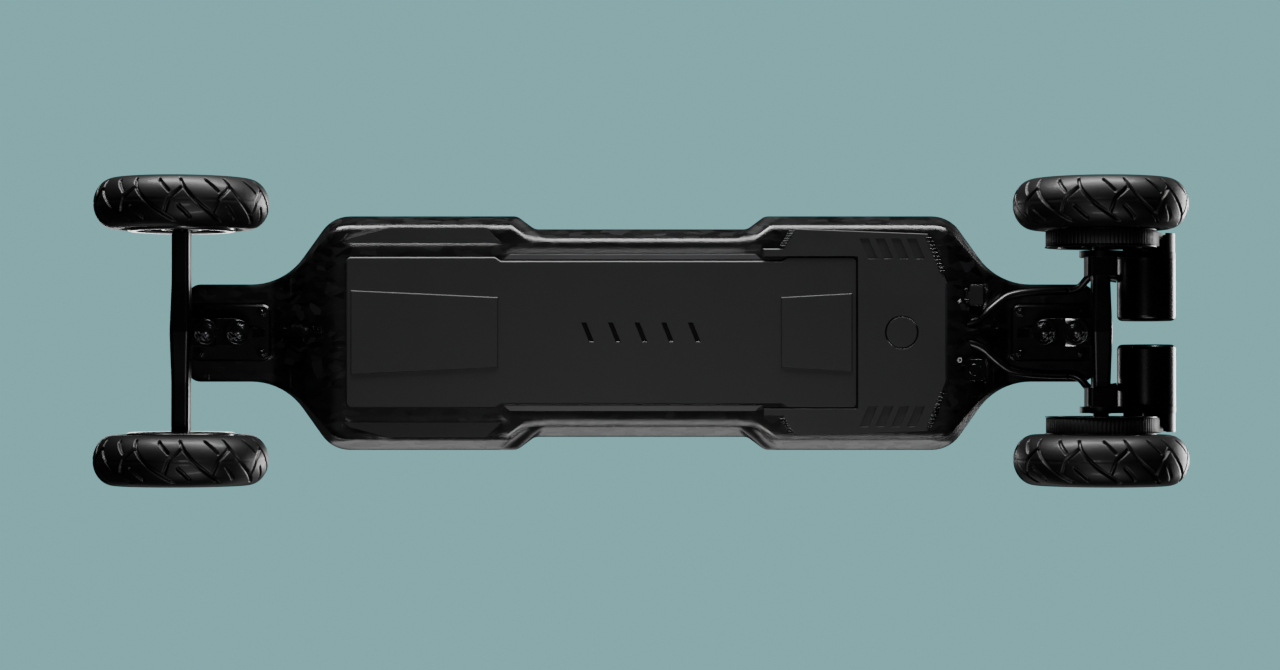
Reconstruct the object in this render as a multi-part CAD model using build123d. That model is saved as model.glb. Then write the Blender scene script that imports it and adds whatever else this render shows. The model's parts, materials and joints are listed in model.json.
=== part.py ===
from build123d import *
import math
import os

# All-terrain electric skateboard with double-kingpin trucks and a belt drive on each rear wheel.
# Frame: +X to the nose, +Y to the rider's left, +Z up. The origin is on the ground, midway
# between the axles. Every size is in millimetres.

os.makedirs("parts", exist_ok=True)

# ---- Clearances
running_fit = 0.05
face_gap = 0.1
loose_fit = 0.5
belt_gap = 0.4

# ---- Wheels and axles
wheelbase = 924.0
track = 257.0
tyre_radius = 87.5
tyre_width = 51.0
tyre_depth = 43.0
tyre_wall = 5.0
tube_wall = 1.6
bead_height = 39.5
rim_radius = tyre_radius - bead_height
rim_width = 36.0
rim_flange = 3.0
rim_thickness = 4.0
hub_web = 8.0
hub_boss_radius = 19.0
hub_window_radius = 9.0
hub_window_circle = 31.5
hub_windows = 5
bearing_radius = 13.0
bearing_width = 8.0
bearing_inset = 1.0
bearing_race = 2.0
bearing_groove = 0.5
axle_radius = 5.0
axle_spacer_radius = 8.0
axle_nut_width = 15.0
axle_nut_height = 6.0
axle_x = wheelbase / 2
axle_z = tyre_radius
wheel_y = track / 2

# ---- Deck
deck_overhang = 4.0
deck_half_length = axle_x + deck_overhang
neck_half = 50.0
neck_length = 99.5
shoulder_length = 50.0
shoulder_start = deck_half_length - neck_length
shoulder_end = shoulder_start - shoulder_length
body_half = 120.0
waist_start = 127.0
waist_end = 109.0
waist_half = 106.6
neck_radius = 65.0
shoulder_radius = 35.0
waist_radius = 12.0
nose_radius = 14.0
truck_height = 62.5
neck_underside = axle_z + truck_height
deck_thickness = 16.0
deck_edge_radius = 3.0
tub_depth = 34.0
tub_underside = neck_underside - tub_depth
tub_inset = 12.0
ramp_outer = shoulder_start + 9.5
ramp_inner = ramp_outer - 61.0
ramp_radius = 18.0
deck_top = neck_underside + deck_thickness
grip_thickness = 2.0
grip_inset = 7.0

# ---- Lengths along the tub, all measured from where its underside starts to slope
cover_front = ramp_inner - 16.0
control_rear = -(ramp_inner - 4.5)
control_length = 187.0
control_front = control_rear + control_length
cover_rear = control_rear + 91.5
cover_gap = 0.8

# ---- Bays inside the deck
bay_roof = deck_top - 8.0
bay_margin = 9.0
battery_bay_front = cover_front - bay_margin
battery_bay_rear = cover_rear + bay_margin - 1
battery_bay_half = 68.0
bay_wall = 16.0
controller_bay_front = battery_bay_rear - bay_wall
controller_bay_length = 73.0
controller_bay_rear = controller_bay_front - controller_bay_length
controller_bay_half = 84.0

# ---- Battery cover
cover_half = 76.5
cover_waist_half = 72.5
cover_step_front = 142.0
cover_step_rear = control_front - 18.5
cover_step_run = 6.0
cover_drop = 6.0
cover_corner = 5.0
cover_edge = 1.2
panel_raise = 1.0
panel_edge = 0.6
panel_length = 154.0
panel_wide_half = 42.5
panel_narrow_half = 35.5
panel_rear_half = 39.5
badge_bars = 5
badge_bar_length = 20.0
badge_bar_width = 5.0
badge_bar_pitch = 27.0
badge_slant = 8.0
badge_depth = 0.8

# ---- Controller cover
control_drop = 8.0
control_edge = 2.4
control_arm_inner = cover_half + cover_gap
control_arm_step = 85.0
control_arm_run = 20.0
control_step_run = 12.0
control_half_front = 105.0
control_half_rear = 100.0
control_tail_half = 49.5
control_tail_run = 20.0
flank_start = 38.0
flank_fall = 2.4
gill_count = 4
gill_length = 21.0
gill_width = 9.0
gill_pitch = 16.0
gill_slant = 9.0
gill_depth = 1.2
gill_first_x = control_rear + 84.5
gill_y = 85.0
ring_radius = 17.0
ring_width = 1.6
ring_depth = 1.2
ring_x = control_rear + 46.5
vent_count = 6
vent_width = 2.2
vent_pitch = 4.2
vent_depth = 3.0
vent_height = control_drop / 2
step_vent_width = 1.3
step_vent_pitch = 3.36
step_vent_start = 2.35
tail_vents = 7
tail_vent_start = 8.0

# ---- Side inlays and rails
inlay_inner = 91.0
inlay_outer = 106.5
inlay_nose = 96.0
inlay_nose_run = 5.0
inlay_tail_run = 15.0
inlay_front = cover_front + 2.0
inlay_rear = cover_step_front
inlay_slant = 45.0
inlay_depth = 2.0
inlay_clearance = 0.3
rail_inner = cover_waist_half + 1.5
rail_outer = 79.5
rail_front = cover_step_front - 3.0
rail_rear = control_front + 1.5
rail_drop = 3.0
rail_clearance = 0.1

# ---- Charge port and power button, on the slope behind the controller cover
port_x = -(ramp_inner + 25.0)
port_y = 38.0
port_size = 22.0
port_floor = neck_underside - 4.0
port_face = neck_underside - 22.0
port_corner = 4.0
socket_radius = 5.5
socket_depth = 12.0
flap_thickness = 2.0
flap_size = 19.0
flap_corner = 1.5
flap_setback = 3.2
flap_tongue = 5.0
flap_hinge_radius = 1.5
flap_hinge_x = port_x + port_size / 2 - flap_hinge_radius - 1.0
ear_half_length = 1.8
ear_half_width = 1.5
ear_y = port_size / 4
sleeve_length = port_size / 2 - 4.0
button_radius = 6.0
button_travel = 1.5
button_proud = 1.2
button_flange = 1.2
button_lip = 3.0
button_flange_reach = 1.5
button_spring_room = 5.0

# ---- Battery and electronics
cell_radius = 9.2
cell_length = 65.0
cell_gap = 1.0
cell_lift = 0.5
cell_columns = 4
cell_layers = 2
cell_front = battery_bay_front - 100.0
cell_rows = int((cell_front - battery_bay_rear) / (cell_length + cell_gap))
board_thickness = 6.0
bms_length = 70.0
bms_width = 60.0
controller_length = 60.0
controller_width = 120.0
controller_height = 22.0

# ---- Trucks: two parallel kingpins, leaning 25 degrees from upright
kingpin_lean = 25.0
kingpin_offset = 19.0
kingpin_spacing = 34.0
kingpin_radius = 5.0
kingpin_end = 2.0
ring_eye_radius = 14.0
ring_half_height = 7.0
bushing_radius = 11.0
bushing_waist = 1.5
bushing_height = 12.0
inner_bushing_height = 10.0
washer_radius = 12.5
washer_height = 2.0
washer_edge = 0.8
kingpin_nut_width = 16.0
kingpin_nut_height = 8.0
kingpin_head_radius = 8.0
kingpin_head_height = 6.0
kingpin_seat = 20.0
link_thickness = 14.0
link_half_width = 14.0
link_web_inner = -22.0
link_web_outer = -15.0
inner_eye_low = -8.0
inner_eye_high = 4.0
boss_radius = 12.0
plate_thickness = 10.0
plate_half_length = 41.0
plate_half_width = 29.0
plate_corner = 8.0
plate_edge = 2.0
rib_half_width = 5.0
rib_height = 12.0
rib_slope = 11.0
bolt_pattern_x = axle_x - 42.0
bolt_spacing_x = 63.5
bolt_spacing_y = 41.3
bolt_radius = 2.5
bolt_head_radius = 4.6
bolt_nut_width = 8.0
bolt_nut_height = 5.0
bolt_end = 2.0
hanger_height = 26.0
hanger_width = 21.0
hanger_end_height = 20.0
hanger_end_width = 18.0
hanger_corner = 4.0
hanger_half_front = wheel_y - 28.5
ring_centre_x = axle_x - kingpin_offset * math.cos(math.radians(kingpin_lean))
ring_centre_z = axle_z + kingpin_offset * math.sin(math.radians(kingpin_lean))

# ---- Belt drive
pulley_radius = 52.0
pulley_teeth = 66
tooth_depth = 2.0
tooth_width = 3.0
flange_radius = 55.5
flange_thickness = 1.0
flange_gap = 0.4
pulley_recess = 8.0
pulley_rim = 10.0
pulley_boss_wall = 5.0
pulley_seat_radius = 38.0
belt_width = 15.0
belt_thickness = 2.4
belt_inner_face = wheel_y - tyre_width / 2 - 1.8 - belt_width
belt_outer_face = belt_inner_face + belt_width
hanger_half_rear = belt_inner_face - 4.2
motor_pulley_radius = 14.2
motor_pulley_teeth = 18
motor_pulley_reach = 1.0
motor_x = -(axle_x + 54.0)
motor_z = axle_z + 46.0
motor_radius = 29.5
motor_wall = 2.0
motor_front_wall = 3.0
motor_rear_wall = 4.0
mount_plate_outer = hanger_half_rear - 0.5
mount_plate_inner = mount_plate_outer - 6.5
motor_inner_end = 12.0
motor_outer_end = mount_plate_inner
motor_edge_radius = 5.0
shaft_radius = 4.0
shaft_start = motor_inner_end + 5.0
stator_radius = 23.9
stator_bore = 8.0
stator_start = motor_inner_end + 25.0
stator_end = motor_outer_end - 10.0
stator_slots = 12
slot_width = 4.0
slot_root = 6.0
slot_wall = 2.0
bell_inner = 24.5
bell_outer = 27.0
bell_start = motor_inner_end + 17.0
bell_end = motor_outer_end - 8.0
bell_disc = 4.0
mount_axle_radius = 21.0
clamp_inner = mount_plate_inner - 19.0
clamp_height = 32.0
clamp_width = 30.0
clamp_corner = 5.0
guard_radius = 29.0
guard_wall = 2.2
guard_outer_face = belt_outer_face - 0.2

# ---- Motor cables, along the rear neck and on to the motors
cable_radius = 4.0
cable_start = control_rear + 4.5
cable_hole_y = 8.0
cable_hole_z = neck_underside - 20.0
cable_neck_y = 43.0
cable_neck_z = neck_underside - cable_radius - 1.0
cable_end = -(deck_half_length - 28.0)
cable_bends = [22.0, 50.0, 22.0]
lead_gap = 0.2
lead_end_gap = 0.8
lead_y = motor_outer_end - 20.0
lead_bend = 7.0


def save(name, shape):
    """Writes one node's solids."""
    solids = shape.solids()
    export_step(solids[0] if len(solids) == 1 else Compound(children=list(solids)), f"parts/{name}.step")


def box_between(x0, x1, y0, y1, z0, z1):
    """A block given by its limits along X, Y and Z."""
    return Pos((x0 + x1) / 2, (y0 + y1) / 2, (z0 + z1) / 2) * Box(abs(x1 - x0), abs(y1 - y0), abs(z1 - z0))


def disc_z(radius, z0, z1):
    """A cylinder about Z between two heights."""
    return Pos(0, 0, (z0 + z1) / 2) * Cylinder(radius, abs(z1 - z0))


def disc_y(radius, y0, y1):
    """A cylinder about Y between two faces."""
    return Pos(0, (y0 + y1) / 2, 0) * Rot(90, 0, 0) * Cylinder(radius, abs(y1 - y0))


def hexagon(width, height):
    """A hexagonal prism about Z, centred, by its width across flats."""
    return extrude(RegularPolygon(width / 2, 6, major_radius=False), height / 2, both=True)


def plan(points):
    """A flat face in plan through the given corners."""
    return make_face(Polyline(*[(x, y, 0) for x, y in points], close=True))


def slab(points, z0, z1):
    """A plan face raised between two heights."""
    return Pos(0, 0, z0) * extrude(plan(points), z1 - z0)


def both_sides(shape):
    """The shape and its mirror image across the board's centre plane."""
    return Compound(children=list(shape.solids()) + list(mirror(shape, about=Plane.XZ).solids()))


def mirrored_outline(half):
    """A closed outline from the points of its +Y half, front to rear."""
    return half + [(x, -y) for x, y in reversed(half)]


def side_prism(points, half_width):
    """A prism across the board from points in its side view."""
    face = make_face(Polyline(*[(x, 0, z) for x, z in points], close=True))
    return extrude(face, half_width, dir=(0, 1, 0), both=True)


# ---- Deck

def deck_outline(inset=0.0):
    """Plan of the deck: a neck at each end, shoulders, wide body and a narrower waist."""
    corners = [
        (deck_half_length, neck_half, nose_radius),
        (shoulder_start, neck_half, neck_radius),
        (shoulder_end, body_half, shoulder_radius),
        (waist_start, body_half, waist_radius),
        (waist_end, waist_half, waist_radius),
    ]
    half = corners + [(-x, y, r) for x, y, r in reversed(corners)]
    loop = half + [(x, -y, r) for x, y, r in reversed(half)]
    wire = FilletPolyline(*[(x, y, 0) for x, y, r in loop], radius=[r for x, y, r in loop], close=True)
    face = make_face(wire)
    return offset(face, -inset) if inset else face


def make_deck_shell():
    """One moulded shell: a flat top, thin necks and a deep tub with two bays open below."""
    top = Pos(0, 0, neck_underside) * extrude(deck_outline(), deck_thickness)
    top = fillet(top.edges().group_by(Axis.Z)[-1], deck_edge_radius)
    taper = math.degrees(math.atan(tub_inset / tub_depth))
    lower = Pos(0, 0, neck_underside) * extrude(deck_outline(), tub_depth, dir=(0, 0, -1), taper=taper)
    side = side_prism(
        [
            (ramp_outer, neck_underside),
            (ramp_inner, tub_underside),
            (-ramp_inner, tub_underside),
            (-ramp_outer, neck_underside),
        ],
        body_half * 2,
    )
    corners = [e for e in side.edges().filter_by(Axis.Y) if abs(e.center().Z - tub_underside) < 1]
    side = fillet(corners, ramp_radius)
    shell = top + (lower & side)

    bays = [
        (battery_bay_rear, battery_bay_front, battery_bay_half),
        (controller_bay_rear, controller_bay_front, controller_bay_half),
    ]
    for rear, front, half in bays:
        shell -= box_between(rear, front, -half, half, axle_z, bay_roof)
    shell -= both_sides(slab(inlay_points(inlay_clearance), axle_z, tub_underside + inlay_depth))
    shell -= both_sides(slab(rail_points(rail_clearance), axle_z, tub_underside + rail_drop))
    for y in (port_y, -port_y):
        pocket = extrude(RectangleRounded(port_size, port_size, port_corner), port_floor - tub_underside)
        shell -= Pos(port_x, y, tub_underside) * pocket
    for x in (bolt_pattern_x, -bolt_pattern_x):
        for bolt_x, bolt_y in bolt_places(x):
            shell -= Pos(bolt_x, bolt_y, deck_top) * Cylinder(bolt_radius, deck_thickness * 3)
            head = Pos(bolt_x, bolt_y, deck_top - bolt_head_radius / 2 + bolt_radius / 2)
            shell -= head * Cone(bolt_radius, bolt_head_radius, bolt_head_radius - bolt_radius)
    for path in cable_paths():
        shell -= sweep(Plane(path @ 0, z_dir=path % 0) * Circle(cable_radius + loose_fit), path=path)
    return shell


def bolt_places(centre_x):
    """The four truck bolts around one truck's centre."""
    return [
        (centre_x + sx * bolt_spacing_x / 2, sy * bolt_spacing_y / 2)
        for sx in (-1, 1)
        for sy in (-1, 1)
    ]


def make_grip_sheet():
    """The grip sheet glued to the deck's top, with the truck bolts' heads left clear."""
    sheet = Pos(0, 0, deck_top) * extrude(deck_outline(grip_inset), grip_thickness)
    for x in (bolt_pattern_x, -bolt_pattern_x):
        for bolt_x, bolt_y in bolt_places(x):
            sheet -= Pos(bolt_x, bolt_y, deck_top) * Cylinder(bolt_head_radius + loose_fit, grip_thickness * 3)
    return sheet


def inlay_points(clearance=0.0):
    """Plan of the front side inlay on +Y, grown by a clearance."""
    return [
        (inlay_front + clearance, inlay_inner - clearance),
        (inlay_front - inlay_nose_run + clearance, inlay_nose),
        (inlay_front - inlay_slant, inlay_outer + clearance),
        (inlay_rear + inlay_tail_run - clearance, inlay_outer + clearance),
        (inlay_rear - clearance, inlay_inner - clearance),
    ]


def rail_points(clearance=0.0):
    """Plan of the strip beside the battery cover on +Y, grown by a clearance."""
    front = rail_front + clearance
    rear = rail_rear - clearance
    low = rail_inner - clearance
    high = rail_outer + clearance
    return [(front, low), (front - cover_step_run, high), (rear + cover_step_run, high), (rear, low)]


def make_side_inlays():
    """The two front side inlays, flush in their recesses."""
    return both_sides(slab(inlay_points(), tub_underside, tub_underside + inlay_depth))


def make_side_rails():
    """The two strips beside the battery cover, standing below the tub."""
    return both_sides(slab(rail_points(), tub_underside - rail_drop, tub_underside + rail_drop))


def slanted_bar(x, y, width, length, slant):
    """Plan of a bar across the board, centred on a point, whose two ends are shifted along X."""
    half = length / 2
    return [
        (x - slant / 2 - width / 2, y - half),
        (x - slant / 2 + width / 2, y - half),
        (x + slant / 2 + width / 2, y + half),
        (x + slant / 2 - width / 2, y + half),
    ]


def make_battery_cover():
    """The lid of the battery bay, narrower between the side rails, with two raised end panels."""
    half = [
        (cover_front, cover_half),
        (cover_step_front + cover_step_run, cover_half),
        (cover_step_front, cover_waist_half),
        (cover_step_rear, cover_waist_half),
        (cover_step_rear - cover_step_run, cover_half),
        (cover_rear, cover_half),
    ]
    bottom = tub_underside - cover_drop
    cover = slab(mirrored_outline(half), bottom, tub_underside)
    upright = cover.edges().filter_by(Axis.Z)
    ends = [e for e in upright if e.center().X > cover_front - 1 or e.center().X < cover_rear + 1]
    cover = fillet(ends, cover_corner)
    cover = chamfer(cover.edges().group_by(Axis.Z)[0], cover_edge)
    panels = [
        [(cover_front - cover_corner, panel_wide_half), (cover_front - panel_length, panel_narrow_half)],
        [(cover_rear + panel_length / 2, panel_narrow_half), (cover_rear + cover_corner, panel_rear_half)],
    ]
    for points in panels:
        panel = slab(mirrored_outline(points), bottom - panel_raise, bottom + panel_raise)
        cover += chamfer(panel.edges().group_by(Axis.Z)[0], panel_edge)
    for index in range(badge_bars):
        x = (index - (badge_bars - 1) / 2) * badge_bar_pitch
        bar = slanted_bar(x, 0, badge_bar_width, badge_bar_length, badge_slant)
        cover -= slab(bar, axle_z, bottom + badge_depth)
    return cover


def row_of_slots(start, run, first, pitch, count, width):
    """Upright slots in a cover's side, in a row on +Y that starts at a corner and follows its side."""
    side = Vector(*run).normalized()
    slots = []
    for index in range(count):
        place = Vector(*start) + side * (first + index * pitch)
        middle = tub_underside - control_drop / 2
        slots.append(Pos(place.X, place.Y, middle) * Box(2 * vent_depth, width, vent_height))
    return Compound(children=[slot.solid() for slot in slots])


def make_controller_cover():
    """The lid of the controller bay: arms beside the battery cover's end, and flanks that slope away."""
    bottom = tub_underside - control_drop
    step_x = control_front - control_arm_run
    tail_x = control_rear + control_tail_run
    half = [
        (control_front, control_arm_step),
        (step_x, control_arm_step),
        (step_x - control_step_run, control_half_front),
        (tail_x, control_half_rear),
        (control_rear, control_tail_half),
    ]
    cover = slab(mirrored_outline(half), bottom, tub_underside)
    cover = chamfer(cover.edges().group_by(Axis.Z)[0], control_edge)
    cover -= box_between(
        cover_rear - cover_gap, 0, -control_arm_inner, control_arm_inner, axle_z, neck_underside
    )
    wedge = make_face(Polyline(
        (0, flank_start, bottom), (0, body_half, bottom + flank_fall), (0, body_half, axle_z),
        (0, flank_start, axle_z), close=True,
    ))
    cover -= both_sides(extrude(wedge, deck_half_length, dir=(-1, 0, 0)))

    fall = flank_fall * (gill_y - flank_start) / (body_half - flank_start)
    for index in range(gill_count):
        x = gill_first_x - gill_width / 2 - index * gill_pitch
        gill = slanted_bar(x, gill_y, gill_width, gill_length, gill_slant)
        cover -= both_sides(slab(gill, axle_z, bottom + fall + gill_depth))
    outer = Pos(ring_x, 0, bottom) * Cylinder(ring_radius, 2 * ring_depth)
    cover -= outer - Pos(ring_x, 0, bottom) * Cylinder(ring_radius - ring_width, 4 * ring_depth)
    step_run = (-control_step_run, control_half_front - control_arm_step)
    tail_run = (control_rear - tail_x, control_tail_half - control_half_rear)
    cover -= both_sides(row_of_slots(
        (step_x, control_arm_step), step_run, step_vent_start, step_vent_pitch, vent_count, step_vent_width
    ))
    cover -= both_sides(row_of_slots(
        (tail_x, control_half_rear), tail_run, tail_vent_start, vent_pitch, tail_vents, vent_width
    ))
    return cover


# ---- Battery and electronics

def make_battery_cells():
    """The cells, lying along the board in rows, side by side and in two layers."""
    cells = []
    pitch = 2 * cell_radius + cell_gap / 2
    for row in range(cell_rows):
        x = cell_front - row * (cell_length + cell_gap) - cell_length / 2
        for column in range(cell_columns):
            y = (column - (cell_columns - 1) / 2) * pitch
            for layer in range(cell_layers):
                z = tub_underside + cell_lift + cell_radius + layer * pitch
                cells.append(Pos(x, y, z) * Rot(0, 90, 0) * Cylinder(cell_radius, cell_length))
    return Compound(children=[c.solid() for c in cells])


def make_bms_board():
    """The battery's board, on the bay's roof in front of the cells."""
    x = (battery_bay_front + cell_front) / 2
    return box_between(
        x - bms_length / 2, x + bms_length / 2, -bms_width / 2, bms_width / 2, bay_roof - board_thickness, bay_roof
    )


def make_controller_board():
    """The motor controller, a potted block on the roof of the rear bay."""
    x = (controller_bay_front + controller_bay_rear) / 2
    return box_between(
        x - controller_length / 2, x + controller_length / 2, -controller_width / 2, controller_width / 2,
        bay_roof - controller_height, bay_roof,
    )


# ---- Charge port and power button

def port_block():
    """The moulded block that fills one square pocket, before its hole is cut."""
    side = port_size - 2 * running_fit
    return Pos(port_x, 0, port_face) * extrude(
        RectangleRounded(side, side, port_corner - running_fit), port_floor - port_face
    )


def make_charge_socket():
    """The charge socket's housing, with a round socket open below and ears for the flap's hinge."""
    block = Pos(0, port_y, 0) * port_block()
    block -= Pos(port_x, port_y, port_face) * Cylinder(socket_radius, 2 * socket_depth)
    for y in (port_y - ear_y, port_y + ear_y):
        block += box_between(
            flap_hinge_x - ear_half_length, flap_hinge_x + ear_half_length, y - ear_half_width,
            y + ear_half_width, port_face - 2 * flap_thickness, port_face,
        )
    return block + flap_hinge() * Cylinder(flap_hinge_radius / 2, 2 * ear_y)


def flap_hinge():
    """The place of the flap's hinge, turned so that Z lies along it."""
    return Pos(flap_hinge_x, port_y, port_face - flap_thickness) * Rot(90, 0, 0)


def make_charge_flap():
    """The soft flap that covers the socket, with a sleeve around its hinge pin."""
    low = port_face - face_gap - flap_thickness
    flap = box_between(
        flap_hinge_x - flap_size + 2, flap_hinge_x - flap_setback, port_y - flap_size / 2,
        port_y + flap_size / 2, low, port_face - face_gap,
    )
    flap = fillet(flap.edges().filter_by(Axis.Z), flap_corner)
    tongue_half = sleeve_length / 2
    tongue = box_between(
        flap_hinge_x - flap_tongue, flap_hinge_x, port_y - tongue_half, port_y + tongue_half,
        low, low + flap_thickness * 0.8,
    )
    flap += tongue + flap_hinge() * Cylinder(flap_hinge_radius, sleeve_length)
    return flap - flap_hinge() * Cylinder(flap_hinge_radius / 2 + running_fit, 2 * sleeve_length)


def make_button_bezel():
    """The block that holds the power button, with a stepped hole that keeps the button in."""
    lip_top = port_face + button_lip
    chamber_top = lip_top + button_flange + button_travel + button_spring_room
    hole = disc_z(button_radius + running_fit, axle_z, lip_top + 1)
    hole += disc_z(button_radius + button_flange_reach + loose_fit, lip_top, chamber_top)
    return Pos(0, -port_y, 0) * port_block() - Pos(port_x, -port_y, 0) * hole


def make_power_button():
    """The power button: a round cap with a flange behind the bezel's lip."""
    flange_low = port_face + button_lip + face_gap
    cap = disc_z(button_radius, port_face - button_proud, flange_low)
    cap = fillet(cap.edges().group_by(Axis.Z)[0], button_proud / 2)
    cap += disc_z(button_radius + button_flange_reach, flange_low, flange_low + button_flange)
    return Pos(port_x, -port_y, 0) * cap


# ---- Trucks, in the kingpins' own frame: Z along the kingpins, X across them, outwards

def truck_frame(shape):
    """Places a shape from the kingpins' frame onto the front truck."""
    return Pos(ring_centre_x, 0, ring_centre_z) * Rot(0, kingpin_lean, 0) * shape


def at_end(shape, front):
    """Leaves the shape at the front, or turns it round to the rear truck."""
    return shape if front else Rot(0, 0, 180) * shape


def make_baseplate():
    """The plate under the neck, with a round boss along the inner kingpin."""
    plate = extrude(RectangleRounded(2 * plate_half_length, 2 * plate_half_width, plate_corner), plate_thickness)
    plate = chamfer(plate.edges().group_by(Axis.Z)[0], plate_edge)
    plate = Pos(bolt_pattern_x, 0, neck_underside - plate_thickness) * plate
    boss_low = inner_eye_high + inner_bushing_height
    boss = disc_z(boss_radius, boss_low, boss_low + truck_height)
    rib = box_between(
        bolt_pattern_x - plate_half_length + 6, bolt_pattern_x - 5, -rib_half_width, rib_half_width,
        neck_underside - plate_thickness - rib_height, neck_underside - 1,
    )
    rib = chamfer(rib.edges().filter_by(Axis.Y).sort_by(Axis.Z)[0], rib_slope)
    room = box_between(0, 2 * deck_half_length, -body_half, body_half, neck_underside, 2 * deck_top)
    plate = plate + truck_frame(Pos(-kingpin_spacing, 0, 0) * boss) + rib - room
    seat = disc_z(kingpin_radius + running_fit, boss_low - 1, boss_low + kingpin_seat + kingpin_end)
    plate -= truck_frame(Pos(-kingpin_spacing, 0, 0) * seat)
    for bolt_x, bolt_y in bolt_places(bolt_pattern_x):
        plate -= Pos(bolt_x, bolt_y, neck_underside) * Cylinder(bolt_radius, plate_thickness * 3)
    return plate


def make_link():
    """The middle piece: an eye on the inner kingpin, a web, and a head on the outer kingpin."""
    head_low = ring_half_height + bushing_height
    head_high = head_low + link_thickness
    eye = Pos(-kingpin_spacing, 0, 0) * disc_z(link_half_width, inner_eye_low, inner_eye_high)
    eye += box_between(
        -kingpin_spacing, link_web_outer, -link_half_width, link_half_width, inner_eye_low, inner_eye_high
    )
    web = box_between(
        link_web_inner, link_web_outer, -link_half_width, link_half_width, inner_eye_low, head_high
    )
    head = disc_z(link_half_width - 1, head_low, head_high)
    head += box_between(link_web_inner, 0, -link_half_width + 1, link_half_width - 1, head_low, head_high)
    link = eye + web + head
    link -= disc_z(kingpin_radius, head_low - 1, head_high + 1)
    link -= Pos(-kingpin_spacing, 0, 0) * disc_z(kingpin_radius, inner_eye_low - 1, inner_eye_high + 1)
    return truck_frame(link)


def make_kingpins():
    """The two kingpins, each with its washers and lock nut."""
    head_top = ring_half_height + bushing_height + link_thickness
    outer_nut = -ring_half_height - bushing_height - washer_height - kingpin_nut_height
    outer = disc_z(kingpin_radius, outer_nut - kingpin_end, head_top) + disc_z(
        kingpin_head_radius, head_top, head_top + kingpin_head_height
    )
    inner_nut = inner_eye_low - inner_bushing_height - washer_height - kingpin_nut_height
    inner_top = inner_eye_high + inner_bushing_height + kingpin_seat
    inner = Pos(-kingpin_spacing, 0, 0) * disc_z(kingpin_radius, inner_nut - kingpin_end, inner_top)
    pieces = [outer, inner]
    for x, low in ((0, outer_nut), (-kingpin_spacing, inner_nut)):
        bore = disc_z(kingpin_radius, low - 1, low + kingpin_nut_height + washer_height + 1)
        nut = Pos(0, 0, low + kingpin_nut_height / 2) * hexagon(kingpin_nut_width, kingpin_nut_height)
        washer = disc_z(washer_radius, low + kingpin_nut_height, low + kingpin_nut_height + washer_height)
        washer = chamfer(washer.edges().group_by(Axis.Z)[0], washer_edge)
        pieces += [Pos(x, 0, 0) * (nut - bore), Pos(x, 0, 0) * (washer - bore)]
    return Compound(children=[truck_frame(p).solid() for p in pieces])


def bushing(height):
    """One rubber bushing about Z, standing on z = 0, with a waisted side."""
    middle = (bushing_radius - bushing_waist, 0, height / 2)
    profile = Polyline((bushing_radius, 0, height), (kingpin_radius, 0, height), (kingpin_radius, 0, 0),
                       (bushing_radius, 0, 0))
    side = ThreePointArc((bushing_radius, 0, 0), middle, (bushing_radius, 0, height))
    return revolve(make_face([profile, side]), Axis.Z)


def make_bushings():
    """The four bushings of a truck, above and below each eye."""
    tall = bushing_height - face_gap
    short = inner_bushing_height - face_gap
    pieces = [
        Pos(0, 0, ring_half_height + face_gap) * bushing(tall),
        Pos(0, 0, -ring_half_height - bushing_height) * bushing(tall),
        Pos(-kingpin_spacing, 0, inner_eye_high) * bushing(short),
        Pos(-kingpin_spacing, 0, inner_eye_low - inner_bushing_height) * bushing(inner_bushing_height),
    ]
    return Compound(children=[truck_frame(p).solid() for p in pieces])


def hanger_section(y, width, height):
    """The hanger's cross-section at one station: a rectangle with cut corners."""
    plane = Plane(origin=(axle_x, y, axle_z), x_dir=(1, 0, 0), z_dir=(0, -1, 0))
    return plane * RectangleRounded(width, height, hanger_corner)


def make_hanger(half_length):
    """The hanger: a tapering bar over the axle, joined to the ring around the outer kingpin."""
    bar = None
    taper_end = 0.9 * clamp_inner
    for side in (-1, 1):
        wing = loft([
            hanger_section(0, hanger_width, hanger_height),
            hanger_section(side * taper_end, hanger_end_width, hanger_end_height),
        ])
        tip = loft([
            hanger_section(side * taper_end, hanger_end_width, hanger_end_height),
            hanger_section(side * half_length, hanger_end_width, hanger_end_height),
        ])
        spacer = Pos(axle_x, 0, axle_z) * disc_y(axle_spacer_radius, side * half_length * 0.9, side * spacer_end())
        wing = wing + tip + spacer
        bar = wing if bar is None else bar + wing
    ring = disc_z(ring_eye_radius, -ring_half_height, ring_half_height)
    ring += box_between(0, kingpin_offset, -ring_eye_radius, ring_eye_radius, -ring_half_height, ring_half_height)
    hanger = bar + truck_frame(ring)
    hanger -= truck_frame(disc_z(kingpin_radius + running_fit, -truck_height, truck_height))
    for low, high in ((ring_half_height, truck_height), (-truck_height, -ring_half_height)):
        hanger -= truck_frame(disc_z(washer_radius + 1, low, high))
    return hanger - Pos(axle_x, 0, axle_z) * disc_y(axle_radius, -2 * track, 2 * track)


def spacer_end():
    """Where the hanger's spacers meet the wheel bearings."""
    return wheel_y - bearing_reach() - face_gap


def bearing_reach():
    """Distance from a wheel's middle to the outer face of its bearings."""
    return rim_width / 2 - bearing_inset


def make_axle():
    """The axle bar through the hanger and both wheels."""
    return Pos(axle_x, 0, axle_z) * disc_y(axle_radius, -axle_end(), axle_end())


def axle_end():
    """Half the axle's length: level with the tyres' outer sides."""
    return wheel_y + tyre_width / 2


def make_axle_nuts():
    """The two wheel nuts."""
    start = wheel_y + bearing_reach() + face_gap
    nut = Rot(90, 0, 0) * hexagon(axle_nut_width, axle_nut_height)
    nut = Pos(axle_x, start + axle_nut_height / 2, axle_z) * nut
    return both_sides(nut - Pos(axle_x, 0, axle_z) * disc_y(axle_radius, 0, 2 * track))


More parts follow.
